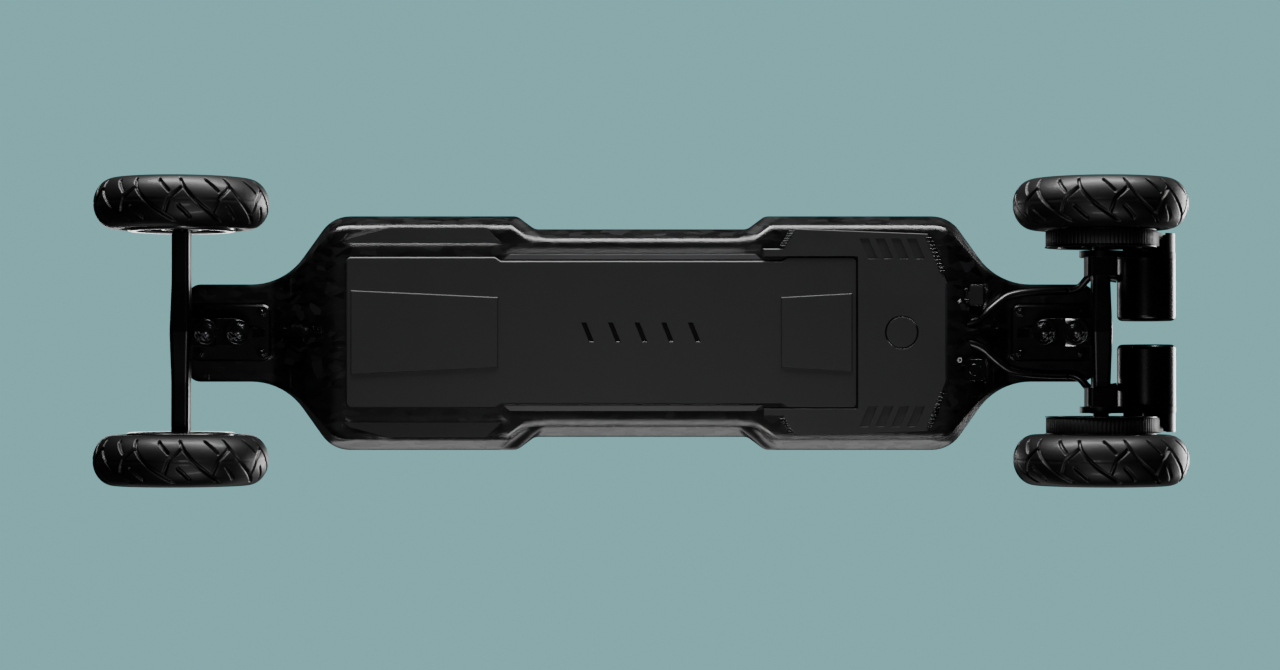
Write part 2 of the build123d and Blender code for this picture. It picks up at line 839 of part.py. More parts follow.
def make_truck_bolts():
    """The eight truck bolts and their nuts under the baseplates."""
    pieces = []
    low = neck_underside - plate_thickness
    for centre in (bolt_pattern_x, -bolt_pattern_x):
        for x, y in bolt_places(centre):
            bolt = disc_z(bolt_radius, low - bolt_nut_height - bolt_end, deck_top)
            cone_height = bolt_head_radius - bolt_radius
            bolt += Pos(0, 0, deck_top - cone_height / 2) * Cone(bolt_radius, bolt_head_radius, cone_height)
            nut = Pos(0, 0, low - bolt_nut_height / 2) * hexagon(bolt_nut_width, bolt_nut_height)
            nut -= disc_z(bolt_radius, 0, deck_top)
            pieces += [Pos(x, y, 0) * bolt, Pos(x, y, 0) * nut]
    return Compound(children=[p.solid() for p in pieces])


# ---- Wheels, about Y at the origin

def ring_section(half_width, depth):
    """One side of the cross-section of a ring about Y: an ellipse under the tread circle."""
    return Pos(tyre_radius - tyre_depth / 2, 0) * Ellipse(depth / 2, half_width)


def make_tyre():
    """The tyre: a hollow ring with its beads against the rim's flanges."""
    section = ring_section(tyre_width / 2, tyre_depth)
    section -= ring_section(tyre_width / 2 - tyre_wall, tyre_depth - 2 * tyre_wall)
    section -= Pos(rim_radius / 2, 0) * Rectangle(rim_radius, 2 * tyre_width)
    flange_inner = rim_width / 2 - rim_flange
    flange_top = rim_radius + rim_flange
    for side in (-1, 1):
        middle = side * (flange_inner + tyre_width / 2)
        section -= Pos(flange_top / 2, middle) * Rectangle(flange_top, tyre_width)
    return revolve(section, Axis.Y)


def make_tube():
    """The inner tube, inflated against the inside of the tyre and the rim."""
    width = tyre_width / 2 - tyre_wall - loose_fit / 2
    depth = tyre_depth - 2 * tyre_wall - loose_fit
    section = ring_section(width, depth) - ring_section(width - tube_wall, depth - 2 * tube_wall)
    return revolve(section, Axis.Y)


def make_hub():
    """The rim, its web with round windows, and the boss around the bearings."""
    half = rim_width / 2
    rim = disc_y(rim_radius, -half, half) - disc_y(rim_radius - rim_thickness, -half - 1, half + 1)
    for side in (-1, 1):
        flange = disc_y(rim_radius + rim_flange, side * (half - rim_flange), side * half)
        rim += flange - disc_y(rim_radius - rim_thickness, -half - 1, half + 1)
    web = disc_y(rim_radius - rim_thickness / 2, -hub_web / 2, hub_web / 2)
    for index in range(hub_windows):
        turn = Rot(0, index * 360 / hub_windows, 0)
        web -= turn * Pos(hub_window_circle, 0, 0) * disc_y(hub_window_radius, -half, half)
    hub = rim + web + disc_y(hub_boss_radius, -half, half)
    hub -= disc_y(axle_spacer_radius + 1, -half - 1, half + 1)
    for side in (-1, 1):
        inner = bearing_reach() - bearing_width
        hub -= disc_y(bearing_radius, side * inner, side * (half + 1))
    return hub


def make_bearings():
    """The two ball bearings of a wheel, each as one closed ring."""
    inner = bearing_reach() - bearing_width
    ring = disc_y(bearing_radius, inner, bearing_reach()) - disc_y(axle_radius + running_fit, 0, rim_width)
    groove = disc_y(bearing_radius - bearing_race, bearing_reach() - bearing_groove, rim_width)
    groove -= disc_y(axle_radius + bearing_race, 0, 2 * rim_width)
    return both_sides(ring - groove)


# ---- Belt drive, on the rear left wheel

def toothed_disc(radius, teeth, low, high):
    """A disc about Y with straight-sided grooves between its teeth."""
    face = Circle(radius)
    for index in range(teeth):
        groove = Pos(radius - tooth_depth / 2, 0) * Rectangle(tooth_depth * 1.2, tooth_width * 0.8)
        face -= Rot(0, 0, index * 360 / teeth) * groove
    disc = extrude(face, high - low)
    return Pos(0, low, 0) * Rot(-90, 0, 0) * disc


def make_drive_pulley():
    """The large pulley bolted to the hub, with a flange on each side of the belt."""
    low = belt_inner_face - flange_gap
    high = belt_outer_face + flange_gap
    pulley = toothed_disc(pulley_radius, pulley_teeth, low, high)
    pulley += disc_y(flange_radius, low - flange_thickness, low)
    pulley += disc_y(flange_radius, high, high + flange_thickness)
    pulley += disc_y(pulley_seat_radius, high, wheel_y - rim_width / 2)
    pulley -= disc_y(bearing_radius + 1, 0, wheel_y)
    recess = disc_y(pulley_radius - pulley_rim, 0, low + pulley_recess)
    pulley -= recess - disc_y(bearing_radius + 1 + pulley_boss_wall, 0, track)
    return Pos(-axle_x, 0, axle_z) * pulley


def belt_loop(extra):
    """The belt's plan between the two pulleys, grown by a distance, raised to the belt's width."""
    big = Circle(pulley_radius + extra)
    small = Pos(motor_x + axle_x, -(motor_z - axle_z)) * Circle(motor_pulley_radius + extra)
    face = make_hull(big.edges() + small.edges())
    loop = extrude(face, belt_width)
    return Pos(-axle_x, belt_inner_face, axle_z) * Rot(-90, 0, 0) * loop


def make_belt():
    """The belt: one closed band around both pulleys."""
    return belt_loop(belt_gap + belt_thickness) - belt_loop(belt_gap)


def at_motor(shape):
    """Moves a shape made about Y at the origin to the left motor's axis."""
    return Pos(motor_x, 0, motor_z) * shape


def make_motor_can():
    """The motor's sealed can, with a tube inside that carries the windings."""
    inside = motor_inner_end + motor_front_wall
    can = disc_y(motor_radius, motor_inner_end, motor_outer_end)
    can = fillet(can.edges().group_by(Axis.Y)[0], motor_edge_radius)
    can -= disc_y(motor_radius - motor_wall, inside, motor_outer_end - motor_rear_wall)
    can += disc_y(stator_bore, stator_start - slot_wall, motor_outer_end)
    can -= disc_y(shaft_radius + running_fit, inside, track)
    return at_motor(can)


def make_stator():
    """The windings' iron core, a slotted ring on the tube in the can."""
    stator = disc_y(stator_radius, stator_start, stator_end) - disc_y(stator_bore, 0, track)
    for index in range(stator_slots):
        slot = box_between(
            stator_bore + slot_root, stator_radius - slot_wall, 0, track, -slot_width / 2, slot_width / 2
        )
        stator -= Rot(0, index * 360 / stator_slots, 0) * slot
    return at_motor(stator)


def make_rotor():
    """The magnet bell around the windings, its end disc and the shaft."""
    bell = disc_y(bell_outer, bell_start, bell_end) - disc_y(bell_inner, bell_start + bell_disc, track)
    return at_motor(bell + disc_y(shaft_radius, shaft_start, belt_outer_face + motor_pulley_reach))


def make_motor_pulley():
    """The small pulley on the motor's shaft."""
    pulley = toothed_disc(
        motor_pulley_radius, motor_pulley_teeth, belt_inner_face - motor_pulley_reach,
        belt_outer_face + motor_pulley_reach,
    )
    return at_motor(pulley - disc_y(shaft_radius, 0, track))


def make_motor_mount():
    """The clamp on the hanger, the plate that holds the motor and the guard around the small pulley."""
    axle_circle = Circle(mount_axle_radius)
    motor_circle = Pos(motor_x + axle_x, -(motor_z - axle_z)) * Circle(motor_radius)
    web = extrude(make_hull(axle_circle.edges() + motor_circle.edges()), mount_plate_outer - mount_plate_inner)
    mount = Pos(-axle_x, mount_plate_inner, axle_z) * Rot(-90, 0, 0) * web
    clamp = box_between(
        -axle_x - clamp_width / 2, -axle_x + clamp_width / 2, clamp_inner, mount_plate_outer,
        axle_z - clamp_height / 2, axle_z + clamp_height / 2,
    )
    mount += fillet(clamp.edges().filter_by(Axis.Y), clamp_corner)
    hole = extrude(RectangleRounded(hanger_end_width, hanger_end_height, hanger_corner), 2 * track)
    mount -= Pos(-axle_x, track, axle_z) * Rot(90, 0, 0) * hole
    guard = disc_y(guard_radius, mount_plate_outer - 1, guard_outer_face)
    guard -= disc_y(guard_radius - guard_wall, 0, track)
    lean = math.degrees(math.atan2(motor_z - axle_z, -axle_x - motor_x))
    guard -= Rot(0, lean, 0) * box_between(guard_wall, track, 0, track, -track, track)
    mount += at_motor(guard)
    mount -= at_motor(disc_y(shaft_radius * 2, 0, track))
    return mount


# ---- Motor cables: straight runs joined by arcs

def cable_paths():
    """Left and right cable routes, from the rear bay to the end of the neck."""
    points = [
        (cable_start, cable_hole_y, cable_hole_z),
        (cable_start - 34, cable_hole_y, cable_hole_z),
        (cable_start - 56, (cable_hole_y + cable_neck_y) / 2 + 2.5, (cable_hole_z + cable_neck_z) / 2 + 1.5),
        (cable_start - 78, cable_neck_y, cable_neck_z),
        (cable_end, cable_neck_y, cable_neck_z),
    ]
    return [
        FilletPolyline(*[(x, side * y, z) for x, y, z in points], radius=cable_bends)
        for side in (1, -1)
    ]


def cable_along(path):
    """A round cable along a route."""
    return sweep(Plane(path @ 0, z_dir=path % 0) * Circle(cable_radius), path=path)


def make_motor_cables():
    """The two cables along the rear neck."""
    return Compound(children=[cable_along(path).solid() for path in cable_paths()])


def make_motor_leads():
    """The loose stretch of each cable, from the neck's end to the front of the motor."""
    lead_end = motor_x + motor_radius + lead_end_gap
    points = [
        (cable_end - lead_gap, cable_neck_y, cable_neck_z),
        (cable_end - 10, cable_neck_y, cable_neck_z),
        (cable_end - 22, lead_y + 5, cable_neck_z - cable_radius),
        (cable_end - 34, lead_y + 2, motor_z),
        (lead_end, lead_y, motor_z),
    ]
    leads = []
    for side in (1, -1):
        path = FilletPolyline(*[(x, side * y, z) for x, y, z in points], radius=[lead_bend] * 3)
        leads.append(cable_along(path).solid())
    return Compound(children=leads)


# ---- Writing the nodes

save("deck_shell", make_deck_shell())
save("grip_sheet", make_grip_sheet())
save("battery_cover", make_battery_cover())
save("controller_cover", make_controller_cover())
save("side_inlays", make_side_inlays())
save("side_rails", make_side_rails())
save("battery_cells", make_battery_cells())
save("bms_board", make_bms_board())
save("controller_board", make_controller_board())
save("charge_socket", make_charge_socket())
save("charge_flap", make_charge_flap())
save("button_bezel", make_button_bezel())
save("power_button", make_power_button())
save("truck_bolts", make_truck_bolts())
save("motor_cables", make_motor_cables())
save("motor_leads", make_motor_leads())

for end, front, bar_half in (("front", True, hanger_half_front), ("rear", False, hanger_half_rear)):
    save(f"{end}_baseplate", at_end(make_baseplate(), front))
    save(f"{end}_link", at_end(make_link(), front))
    save(f"{end}_kingpins", at_end(make_kingpins(), front))
    save(f"{end}_bushings", at_end(make_bushings(), front))
    save(f"{end}_hanger", at_end(make_hanger(bar_half), front))
    save(f"{end}_axle", at_end(make_axle(), front))
    save(f"{end}_axle_nuts", at_end(make_axle_nuts(), front))
    for side, y in (("left", wheel_y), ("right", -wheel_y)):
        place = Pos(axle_x if front else -axle_x, y, axle_z)
        save(f"{end}_{side}_tyre", place * make_tyre())
        save(f"{end}_{side}_tube", place * make_tube())
        save(f"{end}_{side}_hub", place * make_hub())
        save(f"{end}_{side}_bearings", place * make_bearings())

drive_pieces = {
    "drive_pulley": make_drive_pulley(),
    "belt": make_belt(),
    "motor_mount": make_motor_mount(),
    "motor_can": make_motor_can(),
    "stator": make_stator(),
    "rotor": make_rotor(),
    "motor_pulley": make_motor_pulley(),
}
for piece, shape in drive_pieces.items():
    save(f"left_{piece}", shape)
    save(f"right_{piece}", mirror(shape, about=Plane.XZ))
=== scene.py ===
# %% [markdown]
# # An all-terrain electric skateboard
#
# The board is a moulded forged-carbon deck with a battery tub under it, double-pivot trucks,
# four pneumatic tyres and a belt drive on each rear wheel. Its sizes, places and joints come
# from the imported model, which is loaded first and never moved. This lesson gives each piece its
# finish, replaces the pieces whose look needs more than a plain solid (the tyres' tread, the
# belts' ribs and the cables), and adds small ones: hub rings, lock nuts, louvres and marks.

# %% Load the frame
import json
import math
import bpy
import numpy as np
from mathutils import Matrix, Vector


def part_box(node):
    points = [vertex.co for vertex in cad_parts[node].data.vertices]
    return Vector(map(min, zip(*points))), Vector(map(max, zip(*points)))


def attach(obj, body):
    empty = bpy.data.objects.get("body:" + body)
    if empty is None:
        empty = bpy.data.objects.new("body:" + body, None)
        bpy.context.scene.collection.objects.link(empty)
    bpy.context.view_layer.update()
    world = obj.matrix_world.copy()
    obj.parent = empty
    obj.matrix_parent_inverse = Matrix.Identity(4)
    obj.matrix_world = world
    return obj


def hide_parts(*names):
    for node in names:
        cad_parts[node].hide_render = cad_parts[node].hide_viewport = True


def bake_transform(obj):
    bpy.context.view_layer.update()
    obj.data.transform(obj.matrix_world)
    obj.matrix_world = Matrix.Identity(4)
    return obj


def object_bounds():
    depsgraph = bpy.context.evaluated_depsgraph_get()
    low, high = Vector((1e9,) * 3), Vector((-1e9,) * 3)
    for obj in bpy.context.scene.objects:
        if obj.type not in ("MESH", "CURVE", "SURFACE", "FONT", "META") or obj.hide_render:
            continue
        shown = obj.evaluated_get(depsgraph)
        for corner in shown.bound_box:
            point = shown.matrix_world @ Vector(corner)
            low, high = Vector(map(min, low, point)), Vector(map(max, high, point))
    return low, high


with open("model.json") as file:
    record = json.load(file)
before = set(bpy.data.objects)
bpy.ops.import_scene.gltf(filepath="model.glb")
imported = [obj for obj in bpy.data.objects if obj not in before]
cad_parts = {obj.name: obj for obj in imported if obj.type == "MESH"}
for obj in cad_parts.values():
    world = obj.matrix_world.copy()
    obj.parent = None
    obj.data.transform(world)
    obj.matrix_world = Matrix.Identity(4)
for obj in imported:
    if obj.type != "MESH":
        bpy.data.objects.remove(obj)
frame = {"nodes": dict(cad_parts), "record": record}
CAD_BOX = [list(corner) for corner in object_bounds()]
MM = 0.001
print("CAD box", CAD_BOX)

# %% [markdown]
# ## Helpers
#
# Colours are written as sRGB hex, the way a paint chip is read, and turned to linear light by one
# function. One more function adds a shader node with its settings and links. A surface is a grid
# of points, rows by columns, that closes on itself in one or both directions.


# %% Colour, nodes and grids
def linear(code):
    """A hex sRGB colour as linear red, green, blue and alpha: each channel's sRGB curve undone."""
    channels = [int(code[i:i + 2], 16) / 255 for i in (1, 3, 5)]
    curve = [c / 12.92 if c <= 0.04045 else ((c + 0.055) / 1.055) ** 2.4 for c in channels]
    return (*curve, 1.0)


def add(tree, kind, settings=None, **inputs):
    """Adds one shader node. Settings are its properties; inputs are values or sockets to link."""
    made = tree.nodes.new(kind)
    for name, value in (settings or {}).items():
        setattr(made, name, value)
    for name, value in inputs.items():
        key = int(name[1:]) if name[0] == "i" and name[1:].isdigit() else name.replace("_", " ")
        socket = made.inputs[key]
        if isinstance(value, bpy.types.NodeSocket):
            tree.links.new(value, socket)
        else:
            socket.default_value = value
    return made


def new_material(name, **shader):
    """A material with one Principled shader, whose plain sockets are set by name."""
    made = bpy.data.materials.new(name)
    made.use_nodes = True
    tree = made.node_tree
    tree.nodes.clear()
    surface = add(tree, "ShaderNodeBsdfPrincipled")
    output = tree.nodes.new("ShaderNodeOutputMaterial")
    tree.links.new(surface.outputs["BSDF"], output.inputs["Surface"])
    for key, value in shader.items():
        surface.inputs[key.replace("_", " ")].default_value = value
    return made, tree, surface


def ramp(tree, factor, *stops):
    """A colour ramp between (position, hex colour) stops."""
    made = add(tree, "ShaderNodeValToRGB", Fac=factor)
    band = made.color_ramp.elements
    while len(band) < len(stops):
        band.new(0.5)
    for element, (place, code) in zip(band, stops):
        element.position = place
        element.color = linear(code)
    return made.outputs["Color"]


def grid_mesh(name, points, close_rows=True, close_columns=True, smooth=True):
    """A mesh from points[row, column, xyz], with quads between neighbours, closed where asked."""
    rows, columns = points.shape[:2]
    index = np.arange(rows * columns).reshape(rows, columns)
    down = np.roll(index, -1, 0) if close_rows else index[1:]
    here = index if close_rows else index[:-1]
    if close_columns:
        quads = np.stack([here, np.roll(here, -1, 1), np.roll(down, -1, 1), down], -1)
    else:
        quads = np.stack([here[:, :-1], here[:, 1:], down[:, 1:], down[:, :-1]], -1)
    return polygon_mesh(name, points.reshape(-1, 3), quads.reshape(-1, 4), smooth)


def polygon_mesh(name, points, quads, smooth):
    """An object from an array of points and an array of quads, turned so its faces look outward.

    A closed surface's volume is the sum of a.(b x c) / 6 over its triangles. Where it comes out
    negative the faces look inward, and every quad is reversed.
    """
    corner = (points - points.mean(0))[quads]
    first = np.cross(corner[:, 1], corner[:, 2])
    second = np.cross(corner[:, 2], corner[:, 3])
    if (corner[:, 0] * (first + second)).sum() < 0:
        quads = quads[:, ::-1]
    mesh = bpy.data.meshes.new(name)
    mesh.vertices.add(len(points))
    mesh.vertices.foreach_set("co", np.asarray(points, dtype=np.float32).ravel())
    mesh.loops.add(quads.size)
    mesh.loops.foreach_set("vertex_index", quads.astype(np.int32).ravel())
    mesh.polygons.add(len(quads))
    mesh.polygons.foreach_set("loop_start", np.arange(0, quads.size, quads.shape[1], dtype=np.int32))
    mesh.polygons.foreach_set("use_smooth", np.full(len(quads), smooth))
    mesh.update(calc_edges=True)
    mesh.validate()
    made = bpy.data.objects.new(name, mesh)
    bpy.context.scene.collection.objects.link(made)
    return made


def dress(piece, material, body, slot, *nodes):
    """Gives a piece its finish, the body it moves with and the nodes it replaces; its slot is not used.
    """
    piece.data.materials.clear()
    piece.data.materials.append(material)
    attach(piece, body)
    if nodes:
        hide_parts(*nodes)


# %% [markdown]
# ## Finishes
#
# Forged carbon is chopped tow pressed in resin: black flakes about a centimetre long that catch
# the light one by one, all under a thick clear coat. Voronoi cells, stretched and turned, make
# the flakes, and each has its own grey and its own roughness under the same smooth coat.


# %% Forged carbon under clear coat
MOULD_RADIUS = 10 * MM
FLAKE_LENGTH = 14 * MM
FLAKE_STRETCH = (1.0, 2.2, 1.6)
FLAKE_TURN = (0.3, 0.2, 0.7)
WOBBLE = 0.018


def forged_carbon():
    """Black resin with flakes about FLAKE_LENGTH long, under a polished coat.

    A broad noise bends the flakes' cells by WOBBLE, and one cell in eight is a lighter grey.
    """
    made, tree, surface = new_material(
        "forged_carbon_clear_coat", Coat_Weight=1.0, Coat_Roughness=0.03, Specular_IOR_Level=0.2
    )
    place = add(tree, "ShaderNodeTexCoord").outputs["Object"]
    wobble = add(tree, "ShaderNodeTexNoise", Vector=place, Scale=0.5 / FLAKE_LENGTH, Detail=2.0)
    mixed = add(
        tree, "ShaderNodeMix", {"data_type": "VECTOR"},
        i0=WOBBLE, i4=place, i5=wobble.outputs["Color"],
    )
    turned = add(
        tree, "ShaderNodeMapping", Vector=mixed.outputs[1], Rotation=FLAKE_TURN, Scale=FLAKE_STRETCH
    )
    flakes = add(tree, "ShaderNodeTexVoronoi", Vector=turned.outputs[0], Scale=1 / FLAKE_LENGTH)
    grey = add(tree, "ShaderNodeSeparateColor", Color=flakes.outputs["Color"])
    colour = ramp(
        tree, grey.outputs["Red"],
        (0.0, "#010101"), (0.6, "#030303"), (0.88, "#0b0b0c"), (1.0, "#1c1c1e"),
    )
    tree.links.new(colour, surface.inputs["Base Color"])
    rough = add(
        tree, "ShaderNodeMapRange", Value=grey.outputs["Green"], To_Min=0.28, To_Max=0.55
    )
    tree.links.new(rough.outputs["Result"], surface.inputs["Roughness"])
    rounded = add(tree, "ShaderNodeBevel", {"samples": 6}, Radius=MOULD_RADIUS)
    tree.links.new(rounded.outputs[0], surface.inputs["Normal"])
    tree.links.new(rounded.outputs[0], surface.inputs["Coat Normal"])
    return made


carbon = forged_carbon()
print("forged carbon ready")

# %% [markdown]
# The covers are injection-moulded ABS with a fine spark-eroded texture: a matte charcoal whose
# highlights spread wide. The grain is about 0.4 mm; it is drawn a little coarser so that it shows.


# %% Moulded and coated finishes
def grained(name, code, roughness, grain_mm, depth, shift=0.06, edge_mm=0.7, **shader):
    """A finish with fine grain: a noise in colour, roughness and bump, sized in millimetres.

    No real edge is perfectly sharp, so the shading is rounded over edge_mm at every edge.
    """
    made, tree, surface = new_material(name, **shader)
    place = add(tree, "ShaderNodeTexCoord").outputs["Object"]
    fine = add(
        tree, "ShaderNodeTexNoise", Vector=place, Scale=1 / (grain_mm * MM), Detail=3.0, Roughness=0.6
    )
    broad = add(tree, "ShaderNodeTexNoise", Vector=place, Scale=1 / (60 * MM), Detail=4.0)
    both = add(
        tree, "ShaderNodeMix", {"data_type": "FLOAT"},
        i0=0.5, i2=fine.outputs["Fac"], i3=broad.outputs["Fac"],
    )
    shade = add(
        tree, "ShaderNodeMapRange", Value=both.outputs[0], From_Min=0.3, From_Max=0.7,
        To_Min=0.78, To_Max=1.22,
    )
    base = linear(code)
    tint = add(
        tree, "ShaderNodeVectorMath", {"operation": "SCALE"}, i0=base[:3], Scale=shade.outputs["Result"]
    )
    tree.links.new(tint.outputs[0], surface.inputs["Base Color"])
    rough = add(
        tree, "ShaderNodeMapRange", Value=both.outputs[0], From_Min=0.3, From_Max=0.7,
        To_Min=roughness - shift, To_Max=roughness + shift,
    )
    tree.links.new(rough.outputs["Result"], surface.inputs["Roughness"])
    rounded = add(tree, "ShaderNodeBevel", {"samples": 4}, Radius=edge_mm * MM)
    bump = add(
        tree, "ShaderNodeBump", Height=fine.outputs["Fac"], Strength=depth,
        Distance=grain_mm * MM * 0.5, Normal=rounded.outputs[0],
    )
    tree.links.new(bump.outputs["Normal"], surface.inputs["Normal"])
    return made


abs_cover = grained("moulded_matte_abs", "#18181a", 0.5, 0.6, 0.25, Specular_IOR_Level=0.4)
gloss_abs = grained(
    "gloss_abs_trim", "#0a0a0b", 0.14, 0.9,
    0.04, 0.03, Coat_Weight=0.6, Coat_Roughness=0.05,
)
tyre_rubber = grained(
    "black_tyre_rubber", "#050505", 0.46, 0.7,
    0.3, edge_mm=0.4, Specular_IOR_Level=0.3, Coat_Weight=0.06, Coat_Roughness=0.1,
)
soft_rubber = grained("moulded_rubber", "#060606", 0.55, 0.8, 0.15, Specular_IOR_Level=0.3)
bushing_rubber = grained("cast_urethane", "#111112", 0.3, 1.5, 0.05)
cable_skin = grained("cable_sheath_pvc", "#070707", 0.3, 1.2, 0.08)
truck_coat = grained("satin_black_powder_coat", "#020202", 0.3, 0.8, 0.1, Specular_IOR_Level=0.3)
anodised = grained(
    "black_anodised_aluminium", "#0a0a0b", 0.34, 0.5,
    0.06, Metallic=0.6, Specular_IOR_Level=0.3,
)
black_steel = grained("black_oxide_steel", "#3a3a3c", 0.2, 0.7, 0.05, Metallic=0.95)
bright_steel = grained("turned_steel", "#8d8f92", 0.25, 0.5, 0.04, Metallic=1.0)
motor_coat = grained("black_motor_enamel", "#010101", 0.26, 1.0, 0.04, Specular_IOR_Level=0.25)
hub_nylon = grained(
    "glass_filled_nylon", "#1a1a1b", 0.24, 0.9,
    0.08, Coat_Weight=0.4, Coat_Roughness=0.08,
)
grip_foam = grained("embossed_grip_sheet", "#131314", 0.85, 1.1, 0.8)
cell_film = grained("shrink_film", "#254a8a", 0.4, 2.0, 0.02)
circuit_mask = grained("solder_mask", "#0f4a2a", 0.35, 1.0, 0.02)
iron = grained("varnished_laminations", "#4a3a2c", 0.5, 0.5, 0.1, Metallic=0.6)
# The side rails' lighter grey is a painted highlight: it stands in for the bright reflection along the
# rails.
rail_painted_highlight = grained("painted_highlight_rail", "#444446", 0.34, 0.8, 0.05)
print("finishes ready")

# %% Dress the model's own pieces
BY_ENDING = {
    "deck_shell": carbon, "grip_sheet": grip_foam, "battery_cover": abs_cover,
    "controller_cover": abs_cover, "side_inlays": abs_cover, "side_rails": rail_painted_highlight,
    "battery_cells": cell_film, "bms_board": circuit_mask,
    "controller_board": anodised, "charge_socket": gloss_abs, "charge_flap": soft_rubber,
    "button_bezel": gloss_abs, "power_button": gloss_abs, "truck_bolts": black_steel,
    "motor_cables": cable_skin, "motor_leads": cable_skin, "baseplate": truck_coat, "link": truck_coat,
    "kingpins": black_steel, "bushings": bushing_rubber, "hanger": truck_coat, "axle": bright_steel,
    "axle_nuts": black_steel, "tyre": tyre_rubber, "tube": soft_rubber, "hub": hub_nylon,
    "bearings": bright_steel, "drive_pulley": anodised, "motor_pulley": anodised, "belt": soft_rubber,
    "motor_mount": anodised, "motor_can": motor_coat, "stator": iron, "rotor": bright_steel,
}
for name, piece in frame["nodes"].items():
    ending = max((key for key in BY_ENDING if name.endswith(key)), key=len)
    for slot in piece.material_slots:
        slot.material = BY_ENDING[ending]
print(len(frame["nodes"]), "pieces dressed")

# %% [markdown]
# ## The tyres
#
# An all-terrain tyre's face is cut by long slanted grooves from shoulder to shoulder, each met by
# a shorter groove that slants back, with dashes on the shoulders between them. The grooves are
# what the eye sees first, so they are real relief: the tyre is a ring whose section is an
# ellipse, and every point sinks by the depth of the groove it lies in.

# %% Tread pattern
TREAD_REPEATS = 11
GROOVE_DEPTH = 3.2 * MM
GROOVE_HALF = 1.1 * MM
GROOVE_EDGE = 0.55 * MM


def smooth_step(value):
    """Zero below 0, one above 1 and an S-curve between."""
    held = np.clip(value, 0, 1)
    return held * held * (3 - 2 * held)


def groove(distance, half_width=GROOVE_HALF):
    """One inside a groove, falling to zero over its rounded edge, from the distance to its line."""
    return 1 - smooth_step((np.abs(distance) - half_width) / GROOVE_EDGE)


def dash(along, across, pitch, reach, start, end, half_width=GROOVE_HALF):
    """A straight groove from start to end, each (share of a pitch, share of the half-width).

    The distance to the segment is measured to the nearest of its repeats, in metres.
    """
    p = np.array([start[0] * pitch, start[1] * reach])
    q = np.array([end[0] * pitch, end[1] * reach])
    run = q - p
    half_way = (p[0] + q[0]) / 2
    x = (along - half_way + pitch / 2) % pitch - pitch / 2 + half_way - p[0]
    y = across - p[1]
    share = np.clip((x * run[0] + y * run[1]) / (run @ run), 0, 1)
    return groove(np.hypot(x - share * run[0], y - share * run[1]), half_width)


def tread_depth(along, across, pitch, reach):
    """Depth of the tread, from 0 at the surface to 1: the deepest of all grooves at each point.

    The long groove's line is a parabola across the tyre, so it is steep at one shoulder and
    flattens towards the other; its distance is measured square to the line.
    """
    share = across / reach
    line = pitch * (0.278 - 0.485 * share + 0.20 * share**2)
    slope = pitch / reach * (-0.485 + 0.40 * share)
    offset = ((along - line + pitch / 2) % pitch - pitch / 2) / np.hypot(1, slope)
    inside = smooth_step((0.95 - share) / 0.05) * smooth_step((0.92 + share) / 0.05)
    long_cut = groove(offset) * inside
    branch = dash(along, across, pitch, reach, (0.05, 0.56), (-0.22, 0.05))
    foot = dash(along, across, pitch, reach, (-0.22, 0.05), (-0.33, -0.58))
    upper = dash(along, across, pitch, reach, (0.546, 0.85), (0.764, 0.37))
    lower = dash(along, across, pitch, reach, (-0.044, -0.27), (0.196, -0.76))
    centre = 0.25 * groove(across, 0.2 * MM)
    return np.maximum.reduce([long_cut, branch, foot, upper, lower, centre])


# %% Tyre surface
AROUND = 80 * TREAD_REPEATS
FACE = 74
SIDEWALL = 12
FACE_ANGLE = 86
BEAD_ANGLE = 122
SECTION_SHARE = 0.2457
RIM_OVERLAP = 6.6 * MM
SIDE_RIBS = ((98, 0.6), (106, 0.6), (114, 0.4))
RIB_HALF = 1.6
SHOULDER_ANGLE = 66
TREAD_END = 80
TREAD_FADE = 8


def tyre_surface(node):
    """A tyre about Y: round the wheel by AROUND steps, and across its section from bead to bead.

    The section's half-depth is SECTION_SHARE of the outer radius, 21.5 mm on a 175 mm tyre. The
    radius is the section centre's plus that half-depth times the cosine of the section
    angle, less the tread; the width is the half-width times its sine. The beads close the ring.
    """
    low, high = (np.array(corner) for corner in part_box(node))
    middle = (low + high) / 2
    outer = tyre_radius(node)
    half_width = (high[1] - low[1]) / 2
    depth = outer * SECTION_SHARE
    bead = outer - 2 * depth + RIM_OVERLAP
    face = np.linspace(-FACE_ANGLE, FACE_ANGLE, FACE)
    wall = np.linspace(FACE_ANGLE, BEAD_ANGLE, SIDEWALL)[1:]
    angle = np.radians(np.concatenate([-wall[::-1], face, wall]))
    radius = outer - depth + depth * np.cos(angle)
    width = half_width * np.sin(angle)
    for degrees, height in SIDE_RIBS:
        rib = np.exp(-((np.abs(np.degrees(angle)) - degrees) / RIB_HALF) ** 2) * height * MM
        radius = radius + rib
    turn = np.linspace(0, 2 * math.pi, AROUND, endpoint=False)
    pitch = 2 * math.pi * outer / TREAD_REPEATS
    reach = half_width * math.sin(math.radians(SHOULDER_ANGLE))
    along = (-turn * outer)[:, None] + np.zeros(len(angle))
    across = width[None, :] + np.zeros((AROUND, 1))
    fade = smooth_step((TREAD_END - np.abs(np.degrees(angle))) / TREAD_FADE)[None, :]
    sink = tread_depth(along, across, pitch, reach) * GROOVE_DEPTH * fade
    r = radius[None, :] - sink * np.cos(angle)[None, :]
    y = width[None, :] - sink * np.sin(angle)[None, :]
    foot_r = np.array([bead + 0.6 * MM, bead - 2.6 * MM, bead - 2.6 * MM, bead + 0.6 * MM])
    foot_y = np.array([1, 1, -1, -1]) * np.array([0.72, 0.6, 0.6, 0.72]) * half_width
    r = np.concatenate([r, np.tile(foot_r, (AROUND, 1))], 1)
    y = np.concatenate([y, np.tile(foot_y, (AROUND, 1))], 1)
    x = r * np.cos(turn)[:, None] + middle[0]
    z = r * np.sin(turn)[:, None] + middle[2]
    return np.stack([x, y + middle[1], z], -1)


